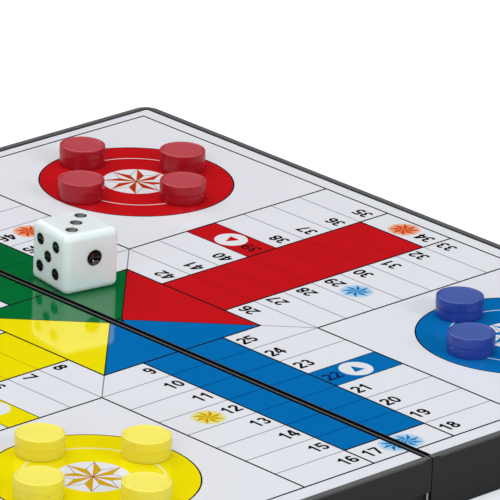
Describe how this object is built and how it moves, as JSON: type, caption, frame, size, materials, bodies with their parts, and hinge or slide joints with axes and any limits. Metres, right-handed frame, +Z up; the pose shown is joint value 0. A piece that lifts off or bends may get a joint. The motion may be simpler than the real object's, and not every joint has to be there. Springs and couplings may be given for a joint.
{
  "type": "folding magnetic parcheesi board",
  "caption": "Hinged tray halves with printed playing faces over steel sheets, folding into a storage case, with dished magnetic tokens and a die.",
  "frame": {"origin": "middle of the seam between the halves, on the table, with the board open and flat", "axes": "+Z up out of the playing face, +X along the seam and the hinge axis, +Y across the seam towards the half that holds the hinge pins, with the red and blue homes"},
  "size_m": [0.2272, 0.233, 0.0309],
  "materials": {
    "black_abs": "fine satin moulding",
    "sheet_steel": "plain cold-rolled",
    "printed_laminate": "gloss laminate",
    "pin_steel": "drawn wire",
    "ferrite": "sintered",
    "red_plastic": "soft gloss",
    "blue_plastic": "soft gloss",
    "yellow_plastic": "soft gloss",
    "green_plastic": "soft gloss",
    "die_plastic": "polished, slightly translucent"
  },
  "bodies": {
    "far_half": {"far_case_half": "black_abs", "far_steel_sheet": "sheet_steel", "far_printed_sheet": "printed_laminate", "left_hinge_pin": "pin_steel", "right_hinge_pin": "pin_steel"},
    "near_half": {"near_case_half": "black_abs", "near_steel_sheet": "sheet_steel", "near_printed_sheet": "printed_laminate"},
    "red_token_1": {"red_token_1_cap": "red_plastic", "red_token_1_magnet": "ferrite"},
    "red_token_2": {"red_token_2_cap": "red_plastic", "red_token_2_magnet": "ferrite"},
    "red_token_3": {"red_token_3_cap": "red_plastic", "red_token_3_magnet": "ferrite"},
    "red_token_4": {"red_token_4_cap": "red_plastic", "red_token_4_magnet": "ferrite"},
    "blue_token_1": {"blue_token_1_cap": "blue_plastic", "blue_token_1_magnet": "ferrite"},
    "blue_token_2": {"blue_token_2_cap": "blue_plastic", "blue_token_2_magnet": "ferrite"},
    "blue_token_3": {"blue_token_3_cap": "blue_plastic", "blue_token_3_magnet": "ferrite"},
    "blue_token_4": {"blue_token_4_cap": "blue_plastic", "blue_token_4_magnet": "ferrite"},
    "yellow_token_1": {"yellow_token_1_cap": "yellow_plastic", "yellow_token_1_magnet": "ferrite"},
    "yellow_token_2": {"yellow_token_2_cap": "yellow_plastic", "yellow_token_2_magnet": "ferrite"},
    "yellow_token_3": {"yellow_token_3_cap": "yellow_plastic", "yellow_token_3_magnet": "ferrite"},
    "yellow_token_4": {"yellow_token_4_cap": "yellow_plastic", "yellow_token_4_magnet": "ferrite"},
    "green_token_1": {"green_token_1_cap": "green_plastic", "green_token_1_magnet": "ferrite"},
    "green_token_2": {"green_token_2_cap": "green_plastic", "green_token_2_magnet": "ferrite"},
    "green_token_3": {"green_token_3_cap": "green_plastic", "green_token_3_magnet": "ferrite"},
    "green_token_4": {"green_token_4_cap": "green_plastic", "green_token_4_magnet": "ferrite"},
    "die": {"die": "die_plastic"}
  },
  "joints": [
    {"name": "fold", "type": "hinge", "parent": "far_half", "child": "near_half", "pos_m": [0, 0, 0.0028], "axis": [1, 0, 0], "range_deg": [0, 180]},
    {"name": "red_token_1_lift", "type": "slide", "parent": "far_half", "child": "red_token_1", "axis": [0, 0, 1], "range_m": [0, 0.03]},
    {"name": "red_token_2_lift", "type": "slide", "parent": "far_half", "child": "red_token_2", "axis": [0, 0, 1], "range_m": [0, 0.03]},
    {"name": "red_token_3_lift", "type": "slide", "parent": "far_half", "child": "red_token_3", "axis": [0, 0, 1], "range_m": [0, 0.03]},
    {"name": "red_token_4_lift", "type": "slide", "parent": "far_half", "child": "red_token_4", "axis": [0, 0, 1], "range_m": [0, 0.03]},
    {"name": "blue_token_1_lift", "type": "slide", "parent": "far_half", "child": "blue_token_1", "axis": [0, 0, 1], "range_m": [0, 0.03]},
    {"name": "blue_token_2_lift", "type": "slide", "parent": "far_half", "child": "blue_token_2", "axis": [0, 0, 1], "range_m": [0, 0.03]},
    {"name": "blue_token_3_lift", "type": "slide", "parent": "far_half", "child": "blue_token_3", "axis": [0, 0, 1], "range_m": [0, 0.03]},
    {"name": "blue_token_4_lift", "type": "slide", "parent": "far_half", "child": "blue_token_4", "axis": [0, 0, 1], "range_m": [0, 0.03]},
    {"name": "yellow_token_1_lift", "type": "slide", "parent": "near_half", "child": "yellow_token_1", "axis": [0, 0, 1], "range_m": [0, 0.03]},
    {"name": "yellow_token_2_lift", "type": "slide", "parent": "near_half", "child": "yellow_token_2", "axis": [0, 0, 1], "range_m": [0, 0.03]},
    {"name": "yellow_token_3_lift", "type": "slide", "parent": "near_half", "child": "yellow_token_3", "axis": [0, 0, 1], "range_m": [0, 0.03]},
    {"name": "yellow_token_4_lift", "type": "slide", "parent": "near_half", "child": "yellow_token_4", "axis": [0, 0, 1], "range_m": [0, 0.03]},
    {"name": "green_token_1_lift", "type": "slide", "parent": "near_half", "child": "green_token_1", "axis": [0, 0, 1], "range_m": [0, 0.03]},
    {"name": "green_token_2_lift", "type": "slide", "parent": "near_half", "child": "green_token_2", "axis": [0, 0, 1], "range_m": [0, 0.03]},
    {"name": "green_token_3_lift", "type": "slide", "parent": "near_half", "child": "green_token_3", "axis": [0, 0, 1], "range_m": [0, 0.03]},
    {"name": "green_token_4_lift", "type": "slide", "parent": "near_half", "child": "green_token_4", "axis": [0, 0, 1], "range_m": [0, 0.03]},
    {"name": "die_lift", "type": "slide", "parent": "far_half", "child": "die", "axis": [0, 0, 1], "range_m": [0, 0.03]}
  ]
}
